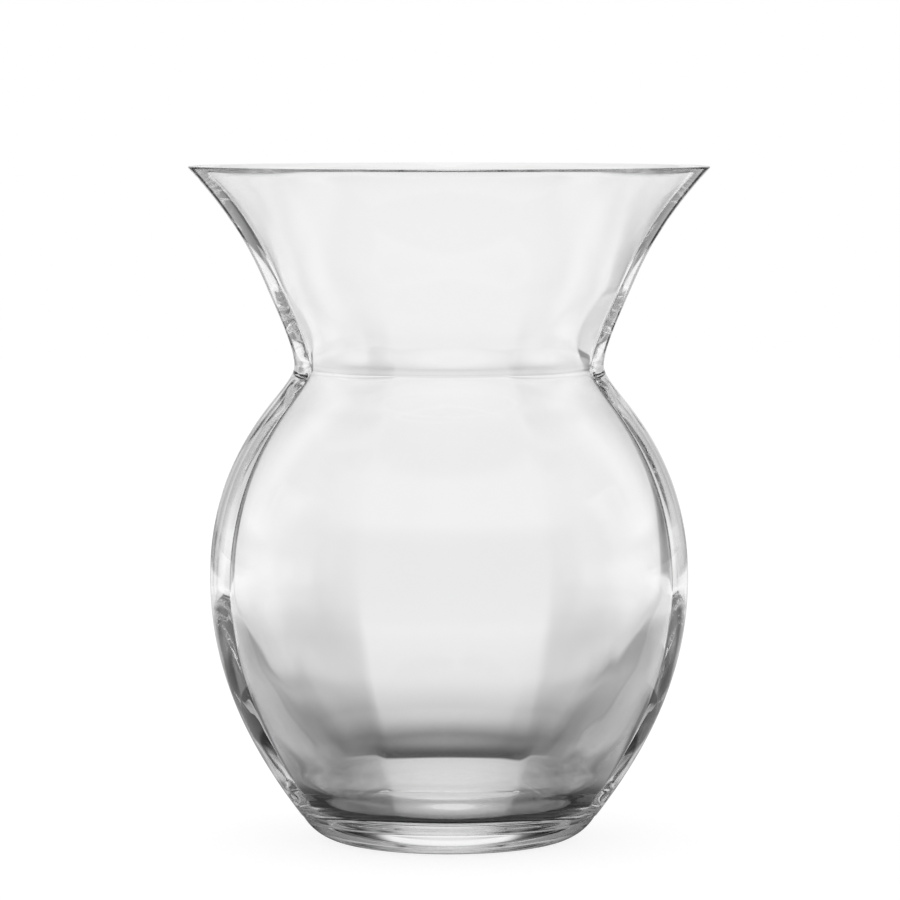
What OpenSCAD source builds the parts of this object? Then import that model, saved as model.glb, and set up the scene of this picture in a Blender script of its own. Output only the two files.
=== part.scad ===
// Clear glass vase: a wide flared collar over a pinched neck, a round bulb and a thick foot.
// The outside is round. The inside has soft upright panels, as in optic-blown glass.
// The vase is one glass body, drawn in four zones that meet face to face.
// Millimetres, +Z up, origin at the centre of the resting face.

/* [Rim and collar] */
// Height from the resting face to the top of the rim
vase_h = 200; // [190:1:240]
// Outer radius of the rim
rim_r = 77; // [70:0.5:84]
// Lean of the flare at the rim, in degrees from upright
rim_lean = 42.5; // [35:0.5:48]
// Thickness of the glass at the rim
rim_wall = 2.2; // [1.6:0.1:3]
// Radius of the polished edge round the rim
rim_edge = 0.4; // [0.2:0.1:0.6]
// Outer radius halfway up the collar
collar_r = 54.4; // [51:0.2:58]
// Height of that halfway ring
collar_z = 165; // [160:0.5:172]
// Lean of the collar at that ring, in degrees from upright
collar_lean = 23; // [18:0.5:32]
// Thickness of the glass at that ring
collar_wall = 3.4; // [2.5:0.1:5]

/* [Neck] */
// Outer radius of the neck, the narrowest ring
neck_r = 45.9; // [43:0.1:49]
// Height of the neck
neck_z = 141; // [136:0.5:144]
// Thickness of the glass at the neck
neck_wall = 4.8; // [3.5:0.1:6.5]
// Height of the pinch line inside the neck above the neck outside
pinch_rise = 1; // [0.4:0.1:2]

/* [Bulb] */
// Outer radius of the shoulder ring
shoulder_r = 52.8; // [50:0.2:56]
// Height of the shoulder ring
shoulder_z = 130; // [128:0.5:133]
// Lean of the shoulder, in degrees from upright
shoulder_lean = 38.5; // [32:0.5:44]
// Thickness of the glass at the shoulder
shoulder_wall = 4.4; // [3.5:0.1:6.5]
// Outer radius of the bulb at its widest ring
bulb_r = 71; // [66:0.5:76]
// Height of the widest ring
bulb_z = 78.5; // [72:0.5:84]
// Thickness of the glass at the widest ring
bulb_wall = 4.7; // [3.5:0.1:7]
// Drop of the widest ring inside below the widest ring outside
bulb_drop = 2; // [0.5:0.5:5]
// Thickness of the glass under the widest ring, where the bulb draws in
belly_wall = 5.8; // [4:0.1:8]
// Thickness of the glass halfway down the flank
flank_wall = 7.5; // [4.5:0.1:9]
// Thickness of the glass low on the flank
hip_wall = 8.5; // [5:0.1:10]
// Thickness of the glass just above the floor
toe_wall = 9; // [6:0.1:10.5]

/* [Foot] */
// Outer radius of the flat resting ring
foot_r = 31; // [28:0.5:34]
// Radius of the round heel above the resting ring
heel_r = 14.7; // [13:0.1:17]
// Height of the crease where the heel meets the bulb
crease_z = 7.5; // [5:0.1:9]
// Width of the small step at the crease
crease_step = 0.6; // [0.2:0.1:1]
// Lean of the bulb just above the crease, in degrees from upright
flank_lean = 37; // [33:0.5:42]
// Inner radius of the resting ring, where the underside starts to rise
punt_r = 27; // [22:0.5:27.5]
// Rise of the underside at its centre
punt_rise = 1.2; // [0.6:0.1:2.5]

/* [Inside] */
// Height of the inside floor at its centre
floor_z = 12.5; // [11:0.5:16]
// Radius where the floor turns up into the wall
floor_r = 34; // [26:0.5:38]
// Rise of the floor from its centre to that radius
floor_rise = 0.4; // [0.2:0.1:3]
// Number of soft upright panels inside
panels = 8; // [6:1:12]
// Depth of a panel at its middle
panel_depth = 1.1; // [0.4:0.1:2]
// Turn of the panels about the axis, in degrees
panel_turn = 271.5; // [240:0.5:300]
// How quickly a panel rises from its ridges: more than 2 makes its middle flatter
panel_power = 1.6; // [1.2:0.1:4]

/* [Hidden] */
$fn = 96;
glass_tint = "lightcyan";
glass_alpha = 0.45;
// The cavity runs past the rim by this much
overrun = 3;
// Heights of the flank's stations on the outside, and of the small step at the crease
toe_z = 14;
hip_z = 22;
flank_z = 34;
belly_z = 55;
step_rise = 0.4;
// A curve's handles, as shares of its chord: the usual one, and the tight one at the neck
handle_share = 0.36;
tight_share = 0.22;
// Softness of the ridge between two panels, as a share of half a panel
ridge_share = 0.03;
// How fully the panels are formed from the floor's edge up to the widest ring, station by station
low_shares = [0, 0.7, 0.95, 1, 1, 1];
// The same at the shoulder, the collar and the rim
shoulder_share = 0.9;
collar_share = 0.6;
rim_share = 0.15;
// Leans at which the floor's edge is met from inside and left towards the wall
edge_lean = 83;
corner_lean = 80;
// Points along a curve, around the heel and rim, between two flank stations, and around the cavity in each panel
curve_steps = 14;
fine_steps = 60;
arc_steps = 8;
low_steps = 4;
steps_per_panel = 8;

// A point moved from p along a lean, in degrees from upright
function along(p, lean, length) = p + length * [sin(lean), cos(lean)];
// A point moved from p into the glass, square to a wall of that lean
function inward(p, lean, length) = p + length * [-cos(lean), sin(lean)];
// One point of a cubic curve with its four control points
function cubic(a, b, c, d, t) =
    pow(1 - t, 3) * a + 3 * t * pow(1 - t, 2) * b + 3 * t * t * (1 - t) * c + pow(t, 3) * d;
// A curve from p to q that leaves and arrives at the given leans, without its first point
function curve(p, p_lean, q, q_lean, p_share, q_share, steps) =
    let (chord = norm(q - p))
    let (b = along(p, p_lean, p_share * chord))
    let (c = along(q, q_lean, -q_share * chord))
    [for (i = [1:steps]) cubic(p, b, c, q, i / steps)];
// A smooth line through a row of points, set off and ended in the given ways, without its first point
function through(points, first_way, last_way, steps) =
    let (last = len(points) - 1)
    let (gaps = [for (i = [0:last - 1]) norm(points[i + 1] - points[i])])
    let (chords = [for (i = [0:last - 1]) (points[i + 1] - points[i]) / gaps[i]])
    let (ways = [
        for (i = [0:last])
        i == 0 ? first_way : i == last ? last_way
            : (chords[i - 1] * gaps[i] + chords[i] * gaps[i - 1]) / (gaps[i] + gaps[i - 1])
    ])
    [
        for (i = [0:last - 1])
        let (b = points[i] + ways[i] * gaps[i] / 3, c = points[i + 1] - ways[i + 1] * gaps[i] / 3)
        for (k = [1:steps])
        cubic(points[i], b, c, points[i + 1], k / steps)
    ];
// A list's value at a place between its items
function between(list, place) =
    let (i = min(floor(place), len(list) - 2))
    list[i] + (list[i + 1] - list[i]) * (place - i);
// Points on an arc about a centre, both ends included
function arc(centre, radius, from, to, steps) =
    [for (i = [0:steps]) let (a = from + (to - from) * i / steps) centre + radius * [cos(a), sin(a)]];

// Outside stations, each [radius, height]
heel_centre = [foot_r, heel_r];
crease_angle = acos(1 - crease_z / heel_r);
crease = [foot_r + heel_r * sin(crease_angle), crease_z];
crease_top = crease + [crease_step, step_rise];
widest = [bulb_r, bulb_z];
shoulder_ring = [shoulder_r, shoulder_z];
neck = [neck_r, neck_z];
ring = [collar_r, collar_z];
rim_centre = [rim_r - rim_edge, vase_h - rim_edge];
lip = rim_centre + rim_edge * [cos(rim_lean), -sin(rim_lean)];

// Outside curves, from the foot up
heel_curve = arc(heel_centre, heel_r, -90, crease_angle - 90, arc_steps);
flank_curve = curve(crease_top, flank_lean, widest, 0, handle_share, handle_share, curve_steps);
upper_curve = curve(widest, 0, shoulder_ring, -shoulder_lean, handle_share, handle_share, curve_steps);
shoulder_curve = curve(shoulder_ring, -shoulder_lean, neck, 0, handle_share, tight_share, arc_steps);
ring_curve = curve(neck, 0, ring, collar_lean, tight_share, handle_share, arc_steps);
rim_curve = curve(ring, collar_lean, lip, rim_lean, handle_share, handle_share, arc_steps);
edge_curve = arc(rim_centre, rim_edge, -rim_lean, 90, arc_steps / 2);

// A station of the flank at a height, moved into the glass square to the outside there
flank_fine = curve(crease_top, flank_lean, widest, 0, handle_share, handle_share, fine_steps);
function flank_inside(z, wall) =
    let (i = min([for (k = [1:fine_steps - 2]) if (flank_fine[k].y >= z) k]))
    let (run = flank_fine[i + 1] - flank_fine[i - 1])
    inward(flank_fine[i], atan2(run.x, run.y), wall);

// Inside stations: the outside ones moved into the glass by the wall
in_floor = [0, floor_z];
in_corner = [floor_r, floor_z + floor_rise];
in_widest = widest - [bulb_wall, bulb_drop];
in_shoulder = inward(shoulder_ring, -shoulder_lean, shoulder_wall);
in_neck = [neck_r - neck_wall, neck_z + pinch_rise];
in_ring = inward(ring, collar_lean, collar_wall);
in_rim = inward(lip, rim_lean, rim_wall);
low_stations = [
    in_corner,
    flank_inside(toe_z, toe_wall),
    flank_inside(hip_z, hip_wall),
    flank_inside(flank_z, flank_wall),
    flank_inside(belly_z, belly_wall),
    in_widest
];

// The cavity's own profile from the floor's centre up, each row with how fully its panels are formed
floor_curve = curve(in_floor, 90, in_corner, edge_lean, handle_share, handle_share, arc_steps / 2);
low_curve = through(low_stations, along([0, 0], corner_lean, 1), [0, 1], low_steps);
high_curves = [
    curve(in_widest, 0, in_shoulder, -shoulder_lean, handle_share, handle_share, arc_steps),
    curve(in_shoulder, -shoulder_lean, in_neck, 0, handle_share, tight_share, arc_steps),
    curve(in_neck, 0, in_ring, collar_lean, tight_share, handle_share, arc_steps),
    curve(in_ring, collar_lean, in_rim, rim_lean, handle_share, handle_share, arc_steps),
    curve(in_rim, rim_lean, along(in_rim, rim_lean, overrun + rim_wall), rim_lean, handle_share, handle_share, 1)
];
high_shares = [low_shares[5], shoulder_share, shoulder_share, collar_share, rim_share, rim_share];
cavity_rows = concat(
    [for (point = floor_curve) [point.x, point.y, low_shares[0]]],
    [
        for (i = [0:len(low_curve) - 1])
        [low_curve[i].x, low_curve[i].y, between(low_shares, (i + 1) / low_steps)]
    ],
    [
        for (k = [0:len(high_curves) - 1])
        for (i = [0:len(high_curves[k]) - 1])
        [high_curves[k][i].x, high_curves[k][i].y, between(high_shares, k + (i + 1) / len(high_curves[k]))]
    ]
);
// The last row of the cavity below a height
function row_below(z) = max([for (i = [0:len(cavity_rows) - 1]) if (cavity_rows[i].y < z) i]);

// How far a panel stands in at an angle: one at its middle, nought at the ridge beside it
function soft(d) = (sqrt(d * d + ridge_share * ridge_share) - ridge_share)
    / (sqrt(1 + ridge_share * ridge_share) - ridge_share);
function panel_form(angle) =
    let (width = 360 / panels)
    let (turned = (angle - panel_turn) / width)
    let (aside = abs(turned - round(turned)) * 2)
    1 - pow(1 - soft(1 - aside), panel_power);

// The cavity between two of its rows, as one closed surface
module cavity(first, last) {
    sides = panels * steps_per_panel;
    angles = [for (j = [0:sides - 1]) panel_turn + 360 * j / sides];
    rings = last - first + 1;
    points = [
        for (i = [first:last])
        for (angle = angles)
        let (r = cavity_rows[i].x - panel_depth * cavity_rows[i].z * panel_form(angle))
        [r * cos(angle), r * sin(angle), cavity_rows[i].y]
    ];
    bottom = [0, 0, first == 0 ? floor_z : cavity_rows[first].y];
    top = [0, 0, cavity_rows[last].y];
    low = len(points);
    sides_up = [
        for (i = [0:rings - 2])
        for (j = [0:sides - 1])
        let (a = i * sides + j, b = i * sides + (j + 1) % sides)
        each [[a, a + sides, b + sides], [a, b + sides, b]]
    ];
    floor_faces = [for (j = [0:sides - 1]) [low, j, (j + 1) % sides]];
    top_faces = [for (j = [0:sides - 1]) [low + 1, (rings - 1) * sides + (j + 1) % sides, (rings - 1) * sides + j]];
    polyhedron(points = concat(points, [bottom, top]), faces = concat(sides_up, floor_faces, top_faces));
}

module foot() {
    color(glass_tint, glass_alpha)
    difference() {
        rotate_extrude()
        polygon(concat([[0, 0]], heel_curve, [[0, crease_z]]));
        punt();
    }
}

// The shallow rise under the foot: the cap of a large ball
module punt() {
    ball_r = (punt_r * punt_r + punt_rise * punt_rise) / (2 * punt_rise);
    translate([0, 0, punt_rise - ball_r])
    sphere(r = ball_r);
}

module belly() {
    color(glass_tint, glass_alpha)
    difference() {
        rotate_extrude()
        polygon(concat([[0, crease_z], crease, crease_top], flank_curve, [[0, bulb_z]]));
        cavity(0, row_below(bulb_z) + 1);
    }
}

module shoulder() {
    color(glass_tint, glass_alpha)
    difference() {
        rotate_extrude()
        polygon(concat([[0, bulb_z], widest], upper_curve, shoulder_curve, [[0, neck_z]]));
        cavity(row_below(bulb_z), row_below(neck_z) + 1);
    }
}

module collar() {
    color(glass_tint, glass_alpha)
    difference() {
        rotate_extrude()
        polygon(concat([[0, neck_z], neck], ring_curve, rim_curve, edge_curve, [[0, vase_h]]));
        cavity(row_below(neck_z), len(cavity_rows) - 1);
    }
}

foot();
belly();
shoulder();
collar();
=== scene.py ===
import math

import bpy
import numpy as np
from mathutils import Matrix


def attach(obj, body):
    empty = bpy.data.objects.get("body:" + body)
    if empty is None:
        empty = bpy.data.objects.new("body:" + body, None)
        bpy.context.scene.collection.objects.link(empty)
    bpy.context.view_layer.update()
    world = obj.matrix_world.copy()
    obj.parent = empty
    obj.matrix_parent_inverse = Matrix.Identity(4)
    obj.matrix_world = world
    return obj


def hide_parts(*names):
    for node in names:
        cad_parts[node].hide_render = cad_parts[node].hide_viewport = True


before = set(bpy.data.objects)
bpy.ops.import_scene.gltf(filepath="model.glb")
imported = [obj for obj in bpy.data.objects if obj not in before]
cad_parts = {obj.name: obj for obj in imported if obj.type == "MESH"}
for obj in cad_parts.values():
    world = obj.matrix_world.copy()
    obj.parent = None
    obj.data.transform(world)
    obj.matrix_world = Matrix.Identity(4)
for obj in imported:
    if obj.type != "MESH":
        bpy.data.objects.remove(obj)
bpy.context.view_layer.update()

millimetres = 1000  # in a metre


# Colours, nodes and objects

# A hex colour as linear light with full alpha: a straight line for the darkest tones, else a power of 2.4
def rgba(hexCode):
    channels = [int(hexCode[i:i + 2], 16) / 255 for i in (1, 3, 5)]
    return (*[c / 12.92 if c <= 0.04045 else ((c + 0.055) / 1.055) ** 2.4 for c in channels], 1.0)


# Adds a node with its settings. An input takes a value, a socket, or a node by its first output
def addNode(tree, kind, settings=None, inputs=None):
    node = tree.nodes.new(kind)
    for name, value in (settings or {}).items():
        setattr(node, name, value)
    for key, value in (inputs or {}).items():
        if isinstance(value, bpy.types.Node):
            value = value.outputs[0]
        if isinstance(value, bpy.types.NodeSocket):
            tree.links.new(value, node.inputs[key])
        else:
            node.inputs[key].default_value = value
    return node


def emptyTree(owner):
    owner.use_nodes = True
    owner.node_tree.nodes.clear()
    return owner.node_tree


def addObject(name, data):
    obj = bpy.data.objects.new(name, data)
    bpy.context.scene.collection.objects.link(obj)
    return obj


# The faces between rings of points that lie one after the other, each ring closed round: the corners of a
# face are a point, the next one round, and the same two on the ring above
def ringFaces(rings, columns):
    i = np.arange(rings - 1)[:, None]
    j = np.arange(columns)[None, :]
    following = (j + 1) % columns
    corners = [i * columns + j, i * columns + following, (i + 1) * columns + following, (i + 1) * columns + j]
    return np.stack(corners, -1).reshape(-1, 4)


# The vase's profile, as radius and height

# Lengths are in millimetres, leans and turns in degrees, and a lean is counted outwards from upright
vase = {
    # the outside, from the raised underside over the heel and its crease to the rim
    "puntR": 27.0, "puntRise": 1.2, "footR": 31.0, "heelR": 14.7,
    "creaseZ": 7.5, "creaseStep": 0.6, "stepRise": 0.4, "flankLean": 37.0,
    "bulbR": 71.0, "bulbZ": 78.5, "shoulderR": 52.8, "shoulderZ": 130.0, "shoulderLean": 38.5,
    "neckR": 45.9, "neckZ": 141.0, "collarR": 54.4, "collarZ": 165.0, "collarLean": 23.0,
    "height": 200.0, "rimR": 77.0, "rimLean": 42.5, "rimEdge": 0.4,
    # the inside: its floor, and the glass at each station; the bulb is widest a little lower and the neck
    # tightest a little higher than outside
    "floorZ": 12.5, "floorR": 34.0, "floorRise": 0.4, "floorEndLean": 83.0, "flankStartLean": 80.0,
    "flankZs": [14.0, 22.0, 34.0, 55.0], "flankWalls": [9.0, 8.5, 7.5, 5.8],
    "bulbWall": 4.7, "bulbDrop": 2.0, "shoulderWall": 4.4, "neckWall": 4.8, "pinchRise": 1.0,
    "collarWall": 3.4, "rimWall": 2.2, "innerEdge": 0.6, "edgeGap": 0.1,
    # the panels, and how fully they are formed: at the flank's stations, and then at the widest ring, the
    # shoulder and neck, the collar and the rim
    "panels": 8, "panelDepth": 1.1, "panelTurn": 271.5, "ridgeShare": 0.03, "panelPower": 1.6,
    "flankShares": [0.7, 0.95, 1.0, 1.0], "upperShares": [1.0, 0.9, 0.6, 0.15],
    # the handles of the curves, as shares of their length, and the points along and round the surface
    "handleShare": 0.36, "tightShare": 0.22, "columns": 240, "edgeSteps": 6,
    "outerSteps": {"under": 10, "heel": 16, "flank": 60, "shoulder": 44,
                   "toNeck": 16, "fromNeck": 20, "collar": 26},
    "innerSteps": {"floor": 10, "station": 13, "shoulder": 40,
                   "toNeck": 18, "fromNeck": 22, "collar": 26},
}


# The way that leans outwards from upright: the sine across and the cosine up
def leanVector(lean):
    return np.array([math.sin(math.radians(lean)), math.cos(math.radians(lean))])


# A point moved into the glass by the wall, square to a surface of the given lean
def inward(point, lean, wall):
    return np.asarray(point) + wall * np.array([-math.cos(math.radians(lean)), math.sin(math.radians(lean))])


# A cubic curve between two points that leaves and arrives at the given leans, without its first point. Its
# two handles are shares of the straight distance
def curve(start, startLean, end, endLean, steps, startShare=None, endShare=None):
    start, end = np.asarray(start, float), np.asarray(end, float)
    chord = np.linalg.norm(end - start)
    leaving = start + (startShare or vase["handleShare"]) * chord * leanVector(startLean)
    arriving = end - (endShare or vase["handleShare"]) * chord * leanVector(endLean)
    t = np.linspace(0, 1, steps + 1)[1:, None]
    return ((1 - t) ** 3 * start + 3 * t * (1 - t) ** 2 * leaving
            + 3 * t ** 2 * (1 - t) * arriving + t ** 3 * end)


# Points on an arc about a centre, from one angle to another in degrees, both ends included
def arc(centre, radius, first, last, steps):
    angles = np.radians(np.linspace(first, last, steps + 1))
    return np.asarray(centre) + radius * np.c_[np.cos(angles), np.sin(angles)]


# A smooth line through a row of points, without its first point: a cubic from point to point that keeps its
# way at each. The ways at the two ends are given, and between them a way is the mean of the two chords, the
# nearer one weighing more
def through(points, firstWay, lastWay, steps):
    points = np.asarray(points, float)
    gaps = np.linalg.norm(np.diff(points, axis=0), axis=1)
    chords = np.diff(points, axis=0) / gaps[:, None]
    gapBefore, gapAfter = gaps[:-1, None], gaps[1:, None]
    ways = np.empty_like(points)
    ways[0], ways[-1] = firstWay, lastWay
    ways[1:-1] = (chords[:-1] * gapAfter + chords[1:] * gapBefore) / (gapAfter + gapBefore)
    t = np.linspace(0, 1, steps + 1)[1:, None]
    pieces = []
    for i, gap in enumerate(gaps):
        pieces.append((2 * t ** 3 - 3 * t ** 2 + 1) * points[i] + (t ** 3 - 2 * t ** 2 + t) * gap * ways[i]
                      + (3 * t ** 2 - 2 * t ** 3) * points[i + 1] + (t ** 3 - t ** 2) * gap * ways[i + 1])
    return np.vstack(pieces)


# The outside, from the middle of the underside to the top of the rim: the raised underside is part of a
# ball, the heel an arc up to the crease, and cubic curves go on from station to station to the rounded edge
def outsideProfile():
    v = vase
    steps = v["outerSteps"]
    ballR = (v["puntR"] ** 2 + v["puntRise"] ** 2) / (2 * v["puntRise"])
    radii = v["puntR"] * np.linspace(0, 1, steps["under"] + 1)
    under = np.c_[radii, v["puntRise"] - ballR + np.sqrt(ballR ** 2 - radii ** 2)]
    creaseAngle = math.degrees(math.acos(1 - v["creaseZ"] / v["heelR"]))
    heel = arc([v["footR"], v["heelR"]], v["heelR"], -90, creaseAngle - 90, steps["heel"])
    creaseTop = heel[-1] + np.array([v["creaseStep"], v["stepRise"]])
    widest, shoulder = [v["bulbR"], v["bulbZ"]], [v["shoulderR"], v["shoulderZ"]]
    neck, ring = [v["neckR"], v["neckZ"]], [v["collarR"], v["collarZ"]]
    edgeCentre = np.array([v["rimR"] - v["rimEdge"], v["height"] - v["rimEdge"]])
    lip = inward(edgeCentre, v["rimLean"], -v["rimEdge"])
    flank = curve(creaseTop, v["flankLean"], widest, 0, steps["flank"])
    rows = np.vstack([
        under, heel, [creaseTop], flank,
        curve(widest, 0, shoulder, -v["shoulderLean"], steps["shoulder"]),
        curve(shoulder, -v["shoulderLean"], neck, 0, steps["toNeck"], None, v["tightShare"]),
        curve(neck, 0, ring, v["collarLean"], steps["fromNeck"], v["tightShare"], None),
        curve(ring, v["collarLean"], lip, v["rimLean"], steps["collar"]),
        arc(edgeCentre, v["rimEdge"], -v["rimLean"], 90, v["edgeSteps"])[1:],
    ])
    return rows, flank, lip


# The inside, from the middle of the floor to the rim: the outside's stations moved into the glass by the
# wall there. Each row has its share, which says how fully the panels are formed
def insideProfile(flank, lip):
    v = vase
    steps = v["innerSteps"]
    middle = np.array([0, v["floorZ"]])
    corner = np.array([v["floorR"], v["floorZ"] + v["floorRise"]])
    stations = [corner]
    for height, wall in zip(v["flankZs"], v["flankWalls"]):
        row = int(np.argmax(flank[:, 1] >= height))
        run = flank[row + 1] - flank[row - 1]
        stations.append(inward(flank[row], math.degrees(math.atan2(run[0], run[1])), wall))
    widest = np.array([v["bulbR"] - v["bulbWall"], v["bulbZ"] - v["bulbDrop"]])
    stations.append(widest)
    shoulder = inward([v["shoulderR"], v["shoulderZ"]], -v["shoulderLean"], v["shoulderWall"])
    neck = [v["neckR"] - v["neckWall"], v["neckZ"] + v["pinchRise"]]
    ring = inward([v["collarR"], v["collarZ"]], v["collarLean"], v["collarWall"])
    rim = inward(lip, v["rimLean"], v["rimWall"])
    low = through(stations, leanVector(v["flankStartLean"]), [0, 1], steps["station"])
    stationShares = [0, *v["flankShares"], v["upperShares"][0]]
    places = np.arange(1, len(low) + 1) / steps["station"]
    parts = [
        (middle[None, :], [0.0]),
        (curve(middle, 90, corner, v["floorEndLean"], steps["floor"]), np.zeros(steps["floor"])),
        (low, np.interp(places, range(len(stationShares)), stationShares)),
    ]
    atBulb, atNeck, atCollar, atRim = v["upperShares"]
    tight = v["tightShare"]
    for piece, first, last in (
            (curve(widest, 0, shoulder, -v["shoulderLean"], steps["shoulder"]), atBulb, atNeck),
            (curve(shoulder, -v["shoulderLean"], neck, 0, steps["toNeck"], None, tight), atNeck, atNeck),
            (curve(neck, 0, ring, v["collarLean"], steps["fromNeck"], tight, None), atNeck, atCollar),
            (curve(ring, v["collarLean"], rim, v["rimLean"], steps["collar"]), atCollar, atRim)):
        parts.append((piece, first + (last - first) * np.arange(1, len(piece) + 1) / len(piece)))
    rows = np.vstack([p for p, _ in parts])
    shares = np.concatenate([s for _, s in parts])
    # the inner edge of the rim is a small arc that ends on the flat top; rows that crowd it are left out
    edgeR = v["innerEdge"]
    topR = rim[0] + (v["height"] - rim[1]) * math.tan(math.radians(v["rimLean"]))
    edgeCentre = [topR + edgeR * math.tan(math.radians(90 - v["rimLean"]) / 2), v["height"] - edgeR]
    edge = arc(edgeCentre, edgeR, 90, 180 - v["rimLean"], v["edgeSteps"])
    keep = rows[:, 1] < edge[-1, 1] - v["edgeGap"]
    return rows[keep], shares[keep], edge


# How far a panel stands in: nought at the ridges beside it and one at its middle. It is one less a power of
# the distance from the middle, and the ridge is rounded by a hyperbola
def panelForm(angles):
    v = vase
    turned = (angles - math.radians(v["panelTurn"])) * v["panels"] / (2 * math.pi)
    fromRidge = 1 - np.abs(turned - np.round(turned)) * 2
    ridge = v["ridgeShare"]
    fromRidge = (np.sqrt(fromRidge ** 2 + ridge ** 2) - ridge) / (math.sqrt(1 + ridge ** 2) - ridge)
    return 1 - (1 - fromRidge) ** v["panelPower"]


# A closed surface turned about the axis: across is the radius times the cosine, back the radius times the
# sine. The first and last rows lie on the axis and become single points
def turnedMesh(name, radii, heights, angles):
    rows, columns = radii.shape
    points = np.stack([radii * np.cos(angles), radii * np.sin(angles), heights], -1) / millimetres
    points = np.vstack([points[0, :1], points[1:-1].reshape(-1, 3), points[-1, :1]])
    rings = rows - 2
    quads = 1 + ringFaces(rings, columns)
    j = np.arange(columns)
    following = (j + 1) % columns
    last = len(points) - 1
    top = 1 + (rings - 1) * columns
    start = np.stack([np.zeros(columns, int), 1 + following, 1 + j], -1)
    end = np.stack([np.full(columns, last), top + j, top + following], -1)
    mesh = bpy.data.meshes.new(name)
    mesh.from_pydata(points.tolist(), [], quads.tolist() + start.tolist() + end.tolist())
    mesh.polygons.foreach_set("use_smooth", [True] * len(mesh.polygons))
    mesh.update()
    return addObject(name, mesh)


glass = {"colour": "#ffffff", "roughness": 0.0, "ior": 1.52}


# Colourless soda-lime glass, blown and fire-polished: smooth as a mirror and without a tint, so the eye
# sees only the light that it bends and catches
def clearGlass():
    material = bpy.data.materials.new("blown clear soda-lime glass")
    tree = emptyTree(material)
    shader = addNode(tree, "ShaderNodeBsdfPrincipled", None, {
        "Base Color": rgba(glass["colour"]), "Roughness": glass["roughness"], "IOR": glass["ior"],
        "Transmission Weight": 1.0})
    addNode(tree, "ShaderNodeOutputMaterial", None, {"Surface": shader})
    return material


# The profile turned about the axis, with the inside's radius less by the panels' depth times their share
# and form
def buildVase():
    outer, flank, lip = outsideProfile()
    inner, shares, edge = insideProfile(flank, lip)
    profile = np.vstack([outer, edge, inner[::-1]])
    angles = math.radians(vase["panelTurn"]) + 2 * math.pi * np.arange(vase["columns"]) / vase["columns"]
    radii = np.repeat(profile[:, :1], vase["columns"], axis=1)
    insideStart = len(outer) + len(edge)
    radii[insideStart:] -= vase["panelDepth"] * shares[::-1, None] * panelForm(angles)[None, :]
    heights = np.repeat(profile[:, 1:], vase["columns"], axis=1)
    piece = turnedMesh("vase", radii, heights, angles)
    piece.data.materials.append(clearGlass())
    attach(piece, "root")
    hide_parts("foot", "belly", "shoulder", "collar")
    print("vase", len(piece.data.polygons), "faces,", len(profile), "rows")


buildVase()


# The studio: a white table and backdrop, and a soft tent that only the glass sees; in the glass, the table
# and the tent show painted light and shade

# Tones are shares of white. A patch of light lies over the plain tone and over the patches before it. Turns
# are degrees from straight behind the vase, the same to both sides, reaches are millimetres from its axis,
# and rises are degrees above the table. None leaves an end open, and an edge is the width over which a
# patch fades. The radii are in metres. The patches were picked, and most of their numbers were then
# fitted to the greys in the photo's glass and rounded
studio = {
    # floorTone and the floor patches are the table's glow as the glass sees it: painted light and shade, not
    # light that falls on the table
    "floorR": 2.6, "floorSides": 96, "floorColour": "#8c8c8c", "floorWhitening": 0.85, "floorTone": 0.46,
    "floorPatches": [
        # painted light behind the vase, then towards the back corners
        {"turns": (None, 33), "turnEdge": 4, "reaches": (165, None), "reachEdge": 90, "tone": 0.70},
        {"turns": (42, 73), "turnEdge": 10, "reaches": (168, None), "reachEdge": 4, "tone": 1.0},
        {"turns": (None, 12), "turnEdge": 10, "reaches": (200, None), "reachEdge": 300, "tone": 0.97},
        # round the foot and under it: a painted shadow of the vase round its foot, painted light under it
        # where the glass gathers light, and painted shade under its front and middle
        {"turns": (None, 45), "turnEdge": 50, "reaches": (34, 115), "reachEdge": 84, "tone": 0.05},
        {"turns": (None, 34), "turnEdge": 56, "reaches": (None, 63), "reachEdge": 4, "tone": 0.64},
        {"turns": (58, None), "turnEdge": 56, "reaches": (None, 63), "reachEdge": 32, "tone": 0.02},
        {"turns": (None, None), "turnEdge": 1, "reaches": (None, 16), "reachEdge": 24, "tone": 0.15},
        # painted shade in front of the vase
        {"turns": (98, None), "turnEdge": 16, "reaches": (244, None), "reachEdge": 104, "tone": 0.0},
        # painted light and shade for the slanting fields low in the bulb, and for the outlines of foot,
        # collar and neck
        {"turns": (21, 55), "turnEdge": 6, "reaches": (160, 274), "reachEdge": 82, "tone": 0.35},
        {"turns": (58, 80), "turnEdge": 8, "reaches": (60, 110), "reachEdge": 10, "tone": 0.15},
        {"turns": (20, 46), "turnEdge": 6, "reaches": (520, 900), "reachEdge": 60, "tone": 1.0},
        {"turns": (14, 38), "turnEdge": 6, "reaches": (940, None), "reachEdge": 200, "tone": 0.08},
    ],
    # the tent, which only the glass sees and which lights nothing: painted light on a dark ground of painted
    # shade
    "tentR": 2.8, "tentFoot": -3, "tentRows": 25, "tentColumns": 96, "tentTone": 0.0,
    "tentPatches": [
        # painted light straight behind, like a bright cloth
        {"turns": (None, 16), "turnEdge": 27, "rises": (None, None), "riseEdge": 1, "tone": 0.80},
        {"turns": (None, 10), "turnEdge": 2, "rises": (None, 4), "riseEdge": 12, "tone": 1.0},
        {"turns": (None, 19), "turnEdge": 8, "rises": (9, 32), "riseEdge": 2, "tone": 1.0},
        # painted light at the sides, along the table, from the front, and overhead
        {"turns": (62, 80), "turnEdge": 21, "rises": (8, 59), "riseEdge": 6, "tone": 0.92},
        {"turns": (42, 101), "turnEdge": 2, "rises": (None, 5), "riseEdge": 6, "tone": 0.50},
        {"turns": (85, None), "turnEdge": 20, "rises": (20, None), "riseEdge": 12, "tone": 0.30},
        {"turns": (None, 24), "turnEdge": 33, "rises": (30, None), "riseEdge": 39, "tone": 0.80},
    ],
    "skyColour": "#ffffff", "skyTone": 1.0, "skyLight": 0.8,
    "bounces": 160,
}


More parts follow.
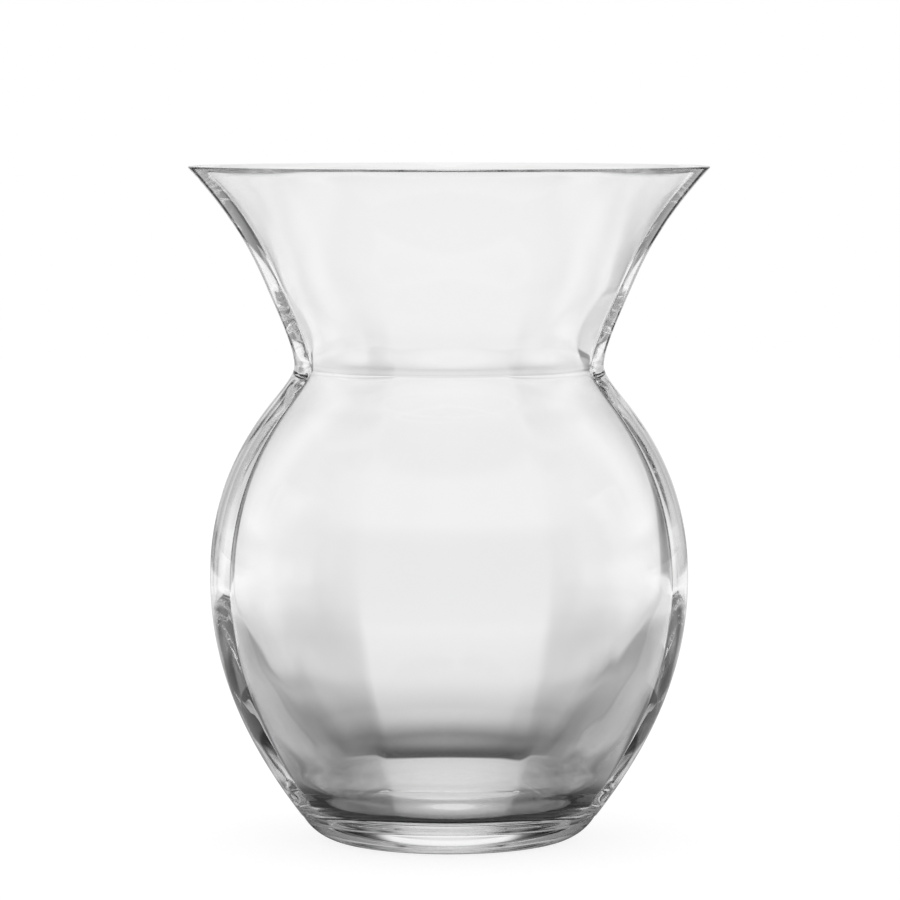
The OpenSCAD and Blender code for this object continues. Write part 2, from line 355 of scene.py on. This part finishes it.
# One inside a span and nought outside it, with a soft step at each end
def softSpan(tree, value, span, edge):
    low, high = span
    inside = 1.0
    for place, first, last in ((low, 0.0, 1.0), (high, 1.0, 0.0)):
        if place is not None:
            step = addNode(tree, "ShaderNodeMapRange", {"interpolation_type": "SMOOTHSTEP"}, {
                0: value, 1: place - edge / 2, 2: place + edge / 2, 3: first, 4: last})
            inside = addNode(tree, "ShaderNodeMath", {"operation": "MULTIPLY"}, {0: step, 1: inside})
    return inside


# The plain tone, mixed with each patch in turn by the product of its two spans
def patchedTone(tree, plainTone, patches, turn, measure, spanName, edgeName):
    tone = plainTone
    for patch in patches:
        share = addNode(tree, "ShaderNodeMath", {"operation": "MULTIPLY"}, {
            0: softSpan(tree, turn, patch["turns"], patch["turnEdge"]),
            1: softSpan(tree, measure, patch[spanName], patch[edgeName])})
        tone = addNode(tree, "ShaderNodeMix", {"data_type": "FLOAT"}, {0: share, 2: tone, 3: patch["tone"]})
    return tone


# The turn of a place from straight behind the vase, in degrees, the same to both sides
def turnFromBehind(tree, way):
    turn = addNode(tree, "ShaderNodeMath", {"operation": "ARCTAN2"}, {0: way.outputs[0], 1: way.outputs[1]})
    toOneSide = addNode(tree, "ShaderNodeMath", {"operation": "ABSOLUTE"}, {0: turn})
    return addNode(tree, "ShaderNodeMath", {"operation": "DEGREES"}, {0: toOneSide})


# One for the light that the glass bends or mirrors, and nought for all other light
def seenInGlass(tree, path):
    return addNode(tree, "ShaderNodeMath", {"operation": "MAXIMUM"}, {
        0: path.outputs["Is Glossy Ray"], 1: path.outputs["Is Transmission Ray"]})


# Matt painted table: it scatters light evenly and is near white to the eye with a faint soft shadow. In the
# glass it glows instead with patches of painted light and shade, among them a painted shadow of the vase
def tableWithPaintedLight():
    s = studio
    material = bpy.data.materials.new("white table with painted light and shade in the glass")
    tree = emptyTree(material)
    path = addNode(tree, "ShaderNodeLightPath")
    place = addNode(tree, "ShaderNodeTexCoord").outputs["Object"]
    distance = addNode(tree, "ShaderNodeVectorMath", {"operation": "LENGTH"}, {0: place}).outputs["Value"]
    reach = addNode(tree, "ShaderNodeMath", {"operation": "MULTIPLY"}, {0: distance, 1: millimetres})
    turn = turnFromBehind(tree, addNode(tree, "ShaderNodeSeparateXYZ", None, {0: place}))
    tone = patchedTone(tree, s["floorTone"], s["floorPatches"], turn, reach, "reaches", "reachEdge")
    diffuse = addNode(tree, "ShaderNodeBsdfDiffuse", None, {"Color": rgba(s["floorColour"])})
    whitening = addNode(tree, "ShaderNodeMath", {"operation": "MULTIPLY"}, {
        0: path.outputs["Is Camera Ray"], 1: s["floorWhitening"]})
    whiten = addNode(tree, "ShaderNodeEmission", None, {"Strength": whitening})
    lit = addNode(tree, "ShaderNodeAddShader", None, {0: diffuse, 1: whiten})
    # the painted light and shade that the glass shows in place of the table
    glow = addNode(tree, "ShaderNodeEmission", None, {"Strength": tone})
    mix = addNode(tree, "ShaderNodeMixShader", None, {0: seenInGlass(tree, path), 1: lit, 2: glow})
    addNode(tree, "ShaderNodeOutputMaterial", None, {"Surface": mix})
    return material


# A disc: points on a circle about the vase's axis
def buildFloor(follow):
    radius, sides = studio["floorR"], studio["floorSides"]
    angles = 2 * math.pi * np.arange(sides) / sides
    points = np.c_[radius * np.cos(angles), radius * np.sin(angles), np.zeros(sides)]
    mesh = bpy.data.meshes.new("floor")
    mesh.from_pydata(points.tolist(), [], [tuple(range(sides))])
    mesh.materials.append(tableWithPaintedLight())
    floor = addObject("floor", mesh)
    floor.parent = follow


# A tent of painted light and shade in place of white cloth lit from outside: it shows no weave, only an even
# glow that fades from patch to patch
def tentPaintedLight():
    s = studio
    material = bpy.data.materials.new("painted light and shade of the tent")
    tree = emptyTree(material)
    place = addNode(tree, "ShaderNodeTexCoord").outputs["Object"]
    unit = addNode(tree, "ShaderNodeVectorMath", {"operation": "NORMALIZE"}, {0: place})
    way = addNode(tree, "ShaderNodeSeparateXYZ", None, {0: unit})
    lift = addNode(tree, "ShaderNodeMath", {"operation": "ARCSINE"}, {0: way.outputs[2]})
    rise = addNode(tree, "ShaderNodeMath", {"operation": "DEGREES"}, {0: lift})
    turn = turnFromBehind(tree, way)
    tone = patchedTone(tree, s["tentTone"], s["tentPatches"], turn, rise, "rises", "riseEdge")
    # the painted light and shade that the glass shows as the tent
    glow = addNode(tree, "ShaderNodeEmission", None, {"Strength": tone})
    addNode(tree, "ShaderNodeOutputMaterial", None, {"Surface": glow})
    return material


# A dome: across and back are the cosine of the rise times the sine and cosine of the turn, and up is its
# sine
def buildTent(follow):
    rows, columns = studio["tentRows"], studio["tentColumns"]
    rises = np.radians(np.linspace(studio["tentFoot"], 90, rows))
    turns = 2 * math.pi * np.arange(columns) / columns
    across, back = np.outer(np.cos(rises), np.sin(turns)), np.outer(np.cos(rises), np.cos(turns))
    up = np.repeat(np.sin(rises)[:, None], columns, 1)
    points = np.stack([across, back, up], -1).reshape(-1, 3) * studio["tentR"]
    mesh = bpy.data.meshes.new("tent")
    mesh.from_pydata(points.tolist(), [], ringFaces(rows, columns).tolist())
    mesh.materials.append(tentPaintedLight())
    tent = addObject("tent", mesh)
    tent.parent = follow
    tent.visible_camera = tent.visible_diffuse = tent.visible_shadow = False


# The white behind everything, a little dimmer as the light that falls on the table
def buildWorld():
    world = bpy.data.worlds.new("studio")
    bpy.context.scene.world = world
    tree = emptyTree(world)
    path = addNode(tree, "ShaderNodeLightPath")
    seen = addNode(tree, "ShaderNodeMath", {"operation": "MAXIMUM"}, {
        0: path.outputs["Is Camera Ray"], 1: seenInGlass(tree, path)})
    strength = addNode(tree, "ShaderNodeMix", {"data_type": "FLOAT"}, {
        0: seen, 2: studio["skyLight"], 3: studio["skyTone"]})
    background = addNode(tree, "ShaderNodeBackground", None, {
        "Color": rgba(studio["skyColour"]), "Strength": strength})
    addNode(tree, "ShaderNodeOutputWorld", None, {"Surface": background})


# Worked out from the vase's outline, in metres, degrees and millimetres of lens; aside is a share of the
# picture's width
camera = {
    "distance": 1.3832, "height": 0.2193, "pitch": 4.277, "aside": 0.001,
    "lens": 187.04, "sensor": 36, "clipStart": 0.01,
}


def placeCamera():
    data = bpy.data.cameras.new("camera")
    data.sensor_width = camera["sensor"]
    data.lens = camera["lens"]
    data.clip_start = camera["clipStart"]
    data.shift_x = camera["aside"]
    data.dof.use_dof = False
    obj = addObject("camera", data)
    obj.location = (0, -camera["distance"], camera["height"])
    obj.rotation_euler = (math.radians(90 - camera["pitch"]), 0, 0)
    bpy.context.scene.camera = obj
    return obj


# The table and the tent turn with the camera, so each side of the vase is lit like its front
def buildStudio():
    turntable = addObject("turntable", None)
    copy = turntable.constraints.new("COPY_ROTATION")
    copy.target = placeCamera()
    copy.use_x = copy.use_y = False
    buildFloor(turntable)
    buildTent(turntable)
    buildWorld()
    bpy.context.scene.view_settings.view_transform = "Standard"
    # light runs round inside the thick walls, so the paths are long
    paths = bpy.context.scene.cycles
    paths.max_bounces = paths.transmission_bounces = paths.glossy_bounces = studio["bounces"]
    print("studio", len(studio["floorPatches"]) + len(studio["tentPatches"]), "patches of light")


buildStudio()
